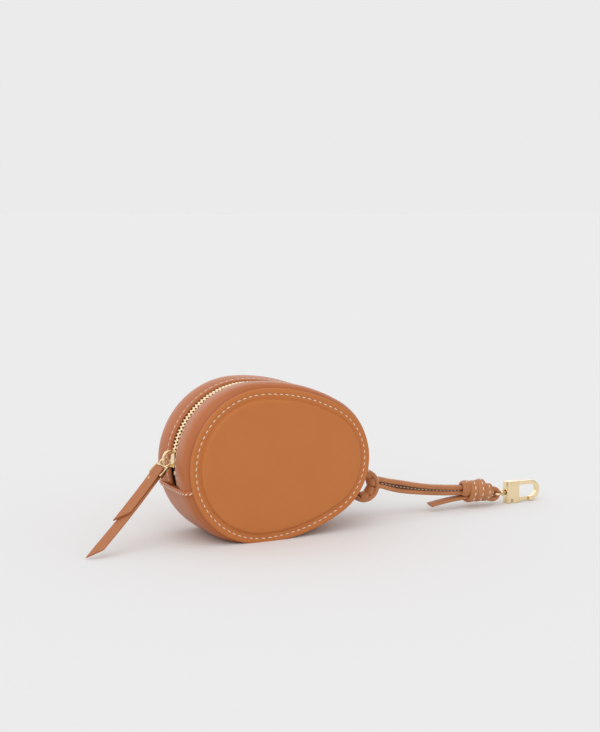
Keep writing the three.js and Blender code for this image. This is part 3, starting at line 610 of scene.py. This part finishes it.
STRIP_TOP = [
    (4.35, -0.1), (4.25, 0.4), (4.4, 1.0), (4.9, 1.5), (5.6, 1.75), (6.3, 1.8), (7.0, 1.74), (7.4, 1.8),
    (8.5, 2.15), (11, 2.6), (13.5, 2.85), (16.0, 2.85), (18.0, 2.55), *BAND_EDGE,
]
STRIP_UNDER = [*BAND_EDGE_INSIDE, (17, -0.2), (14, 0.45), (11, 0.4), (8, 0.1), (6, -0.3), (4.9, -0.5)]
STRIP_STITCH_AT = 6.8
STRIP_STITCH_OUT = 1.78
for word, side in (("front", 1), ("back", -1)):
    strip = sweep(
        f"strip_{word}", [*STRIP_TOP, *STRIP_UNDER], rim_stations(-13.6, 195.6, 2.2, side), smooth=60,
    )
    put(strip, GUSSET_LEATHER, "pouch")
    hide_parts(f"zip_strip_{word}")
    row = []
    around = rim_angles(-12, 194, 3.3)
    for a, b in zip(around, around[1:]):
        turn = math.radians((a + b) / 2)
        middle = rim_place((a + b) / 2, STRIP_STITCH_OUT, side * STRIP_STITCH_AT)
        row.append((middle, rim_place(b) - rim_place(a), Vector((math.cos(turn), 0, math.sin(turn)))))
    sew(f"strip_stitches_{word}", row, 2.2, 0.55, "pouch")

# Across the band at each end a rolled lap of leather covers the strips' ends,
# sewn over with slanting stitches.

for word, angle in (("round_end", 195.7), ("tip_end", -13.7)):
    turn = math.radians(angle)
    outwards = Vector((math.cos(turn), 0, math.sin(turn)))
    alongside = Vector((-math.sin(turn), 0, math.cos(turn)))
    across = [*mirrored(BAND_TOP[:-1]), *BAND_TOP[1:-1]]
    lap_line = smooth_line([rim_place(angle, out + 0.1, forward) for forward, out in across], 3)
    lap_stations = stations(lap_line, [alongside] * len(lap_line))
    lap = sweep(f"lap_{word}", rounded(3.2, 1.8, corner=0.8, count=12), lap_stations)
    put(lap, GUSSET_LEATHER, "pouch")
    row = []
    for middle, run in spaced_places(lap_line, 2.6, first=2.0):
        out = run.cross(alongside)
        out = out if out.dot(outwards) > 0 else -out
        row.append((middle + out * 0.82 * MM, run, out))
    sew(f"lap_stitches_{word}", row, 2.4, 0.7, "pouch", slant=28)


def woven(name, dark, light, pitch):
    """Plain woven cloth: two crossing sets of threads."""
    material = bpy.data.materials.new(name)
    material.use_nodes = True
    nodes, links = material.node_tree.nodes, material.node_tree.links
    shader = nodes["Principled BSDF"]
    place = nodes.new("ShaderNodeTexCoord")
    threads = []
    for direction in ("X", "Z"):
        wave = nodes.new("ShaderNodeTexWave")
        wave.bands_direction = direction
        wave.inputs["Scale"].default_value = 0.314 / (pitch * MM)
        wave.inputs["Distortion"].default_value = 0.6
        links.new(place.outputs["Object"], wave.inputs["Vector"])
        threads.append(wave)
    crossed = nodes.new("ShaderNodeMath")
    crossed.operation = "MULTIPLY"
    links.new(threads[0].outputs["Fac"], crossed.inputs[0])
    links.new(threads[1].outputs["Fac"], crossed.inputs[1])
    tones = nodes.new("ShaderNodeValToRGB")
    tones.color_ramp.elements[0].color = (*dark, 1)
    tones.color_ramp.elements[1].color = (*light, 1)
    links.new(crossed.outputs["Value"], tones.inputs["Fac"])
    links.new(tones.outputs["Color"], shader.inputs["Base Color"])
    shader.inputs["Roughness"].default_value = 0.9
    relief = nodes.new("ShaderNodeBump")
    relief.inputs["Strength"].default_value = 0.4
    relief.inputs["Distance"].default_value = 0.0002
    links.new(crossed.outputs["Value"], relief.inputs["Height"])
    links.new(relief.outputs["Normal"], shader.inputs["Normal"])
    return material


LINING_CLOTH = woven("lining_cloth", (0.16, 0.10, 0.06), (0.30, 0.20, 0.12), 0.5)
for node in ("front_lining", "back_lining", "gusset_lining", "strip_lining_front", "strip_lining_back"):
    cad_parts[node].data.materials[0] = LINING_CLOTH

# ---- Zip -------------------------------------------------------------------------
# Dark woven tapes under the strips, with a chain of small rounded metal teeth
# clamped to their edges, and metal stops at the ends.

ZIP_TAPE = woven("zip_tape", (0.045, 0.022, 0.011), (0.14, 0.070, 0.035), 0.45)
for node in ("zip_tape_front", "zip_tape_back"):
    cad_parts[node].data.materials[0] = ZIP_TAPE


def gold_finish(name, rough):
    """Pale gold plating with faint smears."""
    material = bpy.data.materials.new(name)
    material.use_nodes = True
    nodes, links = material.node_tree.nodes, material.node_tree.links
    shader = nodes["Principled BSDF"]
    shader.inputs["Metallic"].default_value = 1.0
    place = nodes.new("ShaderNodeTexCoord")
    smears = nodes.new("ShaderNodeTexNoise")
    smears.inputs["Scale"].default_value = 260
    smears.inputs["Detail"].default_value = 3
    links.new(place.outputs["Object"], smears.inputs["Vector"])
    tones = nodes.new("ShaderNodeValToRGB")
    tones.color_ramp.elements[0].color = (0.90, 0.68, 0.38, 1)
    tones.color_ramp.elements[1].color = (1.0, 0.84, 0.58, 1)
    links.new(smears.outputs["Fac"], tones.inputs["Fac"])
    links.new(tones.outputs["Color"], shader.inputs["Base Color"])
    polish = nodes.new("ShaderNodeMapRange")
    polish.inputs["To Min"].default_value = rough
    polish.inputs["To Max"].default_value = rough + 0.12
    links.new(smears.outputs["Fac"], polish.inputs["Value"])
    links.new(polish.outputs["Result"], shader.inputs["Roughness"])
    return material


GOLD = gold_finish("pale_gold", 0.14)
CHAIN_LEVEL = -0.05
TOOTH_PITCH = 2.1
TOOTH_SIZE = Vector((1.1, 3.7, 2.0)) * MM
TOOTH_SIDE = 1.0
for word, side in (("front", 1), ("back", -1)):
    bpy.ops.object.select_all(action="DESELECT")
    bpy.ops.mesh.primitive_cube_add(size=1)
    tooth = bpy.context.object
    bpy.ops.transform.resize(value=TOOTH_SIZE)
    bpy.ops.object.transform_apply(location=False, rotation=False, scale=True)
    bpy.ops.object.mode_set(mode="EDIT")
    bpy.ops.mesh.select_all(action="SELECT")
    bpy.ops.mesh.bevel(offset=0.3 * MM, segments=2, affect="EDGES")
    bpy.ops.object.mode_set(mode="OBJECT")
    bpy.ops.object.shade_smooth()
    teeth = []
    around = rim_angles(-5.4, 170.6, TOOTH_PITCH / 2, -CHAIN_LEVEL)
    for angle in around[1 if side > 0 else 2::2]:
        turn = math.radians(angle)
        alongside = Vector((-math.sin(turn), 0, math.cos(turn)))
        outwards = Vector((math.cos(turn), 0, math.sin(turn)))
        turned = Matrix((alongside, Vector((0, -side, 0)), outwards)).transposed().to_4x4()
        copy = bpy.data.objects.new("tooth", tooth.data.copy())
        scene.collection.objects.link(copy)
        copy.data.transform(Matrix.Translation(rim_place(angle, CHAIN_LEVEL, side * TOOTH_SIDE)) @ turned)
        teeth.append(copy)
    bpy.data.objects.remove(tooth)
    bpy.ops.object.select_all(action="DESELECT")
    for copy in teeth:
        copy.select_set(True)
    bpy.context.view_layer.objects.active = teeth[0]
    bpy.ops.object.join()
    chain = bpy.context.object
    chain.name = f"teeth_{word}"
    if side < 0:
        chain.data.flip_normals()
    put(chain, GOLD, "pouch")
    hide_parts(f"zip_teeth_{word}")


def softened(name, node, width, material, body, segments=3):
    """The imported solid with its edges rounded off, as a casting or a pressing has them."""
    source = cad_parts[node]
    piece = bpy.data.objects.new(name, source.data.copy())
    scene.collection.objects.link(piece)
    bpy.ops.object.select_all(action="DESELECT")
    piece.select_set(True)
    bpy.context.view_layer.objects.active = piece
    bpy.ops.object.mode_set(mode="EDIT")
    bpy.ops.mesh.select_all(action="SELECT")
    bpy.ops.mesh.remove_doubles(threshold=2e-6)
    bpy.ops.mesh.dissolve_limited(angle_limit=math.radians(1))
    bpy.ops.object.mode_set(mode="OBJECT")
    edge = piece.modifiers.new("edge", "BEVEL")
    edge.width = width * MM
    edge.segments = segments
    edge.limit_method = "ANGLE"
    edge.angle_limit = math.radians(32)
    edge.use_clamp_overlap = True
    bpy.ops.object.modifier_apply(modifier="edge")
    bpy.ops.object.shade_smooth_by_angle(angle=math.radians(40))
    put(piece, material, body)
    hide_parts(node)
    return piece


for node in ("top_stop_front", "top_stop_back", "bottom_stop"):
    softened(f"{node}_cast", node, 0.35, GOLD, "pouch")

# ---- Slider ----------------------------------------------------------------------
# A cast slider with rounded plates and a broad domed bridge that the puller's
# eye passes under.

softened("slider_plates", "slider_body", 0.25, GOLD, "slider")
SLIDER_ANGLE = 175
slider_turn = math.radians(SLIDER_ANGLE)
slider_along = Vector((-math.sin(slider_turn), 0, math.cos(slider_turn)))
bridge_line = smooth_line([rim_place(SLIDER_ANGLE, rise) + slider_along * along * MM for along, rise in [
    (-4.3, 0.7), (-4.3, 2.8), (-3.6, 4.9), (-1.9, 6.0), (0, 6.3),
    (1.9, 6.0), (3.6, 4.9), (4.3, 2.8), (4.3, 0.7),
]], 5)
broad = []
for i in range(len(bridge_line)):
    share = i / (len(bridge_line) - 1)
    broad.append(SIDEWAYS * (0.62 + 0.38 * math.sin(math.pi * share)))
slider_bridge = sweep("slider_bridge", rounded(2.7, 1.35, corner=0.85), stations(bridge_line, broad))
put(slider_bridge, GOLD, "slider")

# ---- Puller ----------------------------------------------------------------------
# A gold stirrup hangs from the slider, with a pin between its cheeks. A strip of
# calf is folded over the pin, its two layers left loose and cut to slanting ends.

HINGE_OUT = 3.85
PULL_YAW = 23
PULL_DROOP = 38.5
PULL_ROLL = 20
hinge = rim_place(SLIDER_ANGLE, HINGE_OUT)
puller_turn = (
    Matrix.Rotation(math.radians(180 + PULL_YAW), 3, "Z")
    @ Matrix.Rotation(math.radians(PULL_DROOP), 3, "Y")
    @ Matrix.Rotation(math.radians(-PULL_ROLL), 3, "X")
)
PULL_ALONG, PULL_ACROSS, PULL_FACE = puller_turn.transposed()


def pull_place(along, across, face):
    return hinge + (PULL_ALONG * along + PULL_ACROSS * across + PULL_FACE * face) * MM


softened("stirrup", "pull_yoke", 0.3, GOLD, "puller")
softened("stirrup_pin", "pull_pin", 0.15, GOLD, "puller")

PIN_AT = 8.6
TAB_WIDTH = 5.6
TAB_SHORT_END = 48.0
TAB_LONG_END = 73.0
TAB_TIP_SLOPE = 1.5
fold_line = smooth_line([pull_place(along, across, face) for along, across, face in [
    (51, 0, 1.0), (46, 0, 0.9), (40, 0, 0.8), (30, 0, 0.78), (20, 0, 0.95), (14, 0, 1.35),
    (PIN_AT + 1.5, 0, 1.7),
    (PIN_AT, 0, 1.68), (PIN_AT - 1.25, 0, 1.15), (PIN_AT - 1.72, 0, 0), (PIN_AT - 1.25, 0, -1.15),
    (PIN_AT, 0, -1.68), (PIN_AT + 1.5, 0, -1.65), (14, 0.2, -1.15), (20, 0.5, -0.8), (30, 0.8, -0.72),
    (42, 0.8, -0.7), (52, 0.6, -0.7), (60, 0.3, -0.7), (65, 0.1, -0.7), (70, 0, -0.7), (74, 0, -0.7),
]], 8)
fold_stations = stations(fold_line, [PULL_ACROSS] * len(fold_line))
pull_strip = sweep("pull_strip", rounded(TAB_WIDTH, 1.25, corner=0.4), fold_stations)
for vertex in pull_strip.data.vertices:
    away = vertex.co - hinge
    along, across, face = (away.dot(axis) / MM for axis in (PULL_ALONG, PULL_ACROSS, PULL_FACE))
    end = TAB_SHORT_END if face > 0.05 else TAB_LONG_END
    limit = end - TAB_TIP_SLOPE * (across + TAB_WIDTH / 2)
    if along > limit and along > PIN_AT + 8:
        vertex.co = pull_place(limit, across, face)
TAB_LEATHER = leather("tab_leather", (0.41, 0.145, 0.052), (0.47, 0.170, 0.062), rough=0.45)
put(pull_strip, TAB_LEATHER, "pull_strip")
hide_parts("pull_tab")
sew("pull_stitch", [(pull_place(16, -1.2, 1.62), PULL_ALONG, PULL_FACE)], 2.2, 0.8, "pull_strip")

# ---- Anchor loop and ring ----------------------------------------------------------
# A loop of calf sewn into the tip end holds a plain gold ring for the strap.

softened("anchor_loop", "anchor_tab", 0.4, GUSSET_LEATHER, "pouch")
bpy.ops.object.select_all(action="DESELECT")
RING_RADIUS = 7.5 * MM
RING_WIRE = 2.0 * MM
bpy.ops.mesh.primitive_torus_add(
    major_segments=72, minor_segments=20, major_radius=RING_RADIUS, minor_radius=RING_WIRE / 2,
    location=RING_CENTRE, rotation=(math.radians(90), 0, 0),
)
strap_ring = bpy.context.object
strap_ring.name = "strap_ring"
bpy.ops.object.transform_apply(location=True, rotation=True, scale=True)
bpy.ops.object.shade_smooth()
put(strap_ring, GOLD, "ring")
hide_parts("anchor_ring")

# ---- Swivel clasp --------------------------------------------------------------------
# A small gold clasp: an eye with a ball neck turns in the block, and a sprung
# gate closes the hook.

softened("clasp_hook", "clasp_body", 0.6, GOLD, "clasp", segments=4)
softened("gate_bar", "clasp_gate", 0.3, GOLD, "gate")
softened("gate_rivet", "gate_pin", 0.15, GOLD, "clasp")
softened("neck_and_eye", "swivel_eye", 0.12, GOLD, "eye")
SPRING_STEEL = gold_finish("spring_steel", 0.3)
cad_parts["gate_spring"].data.materials[0] = SPRING_STEEL
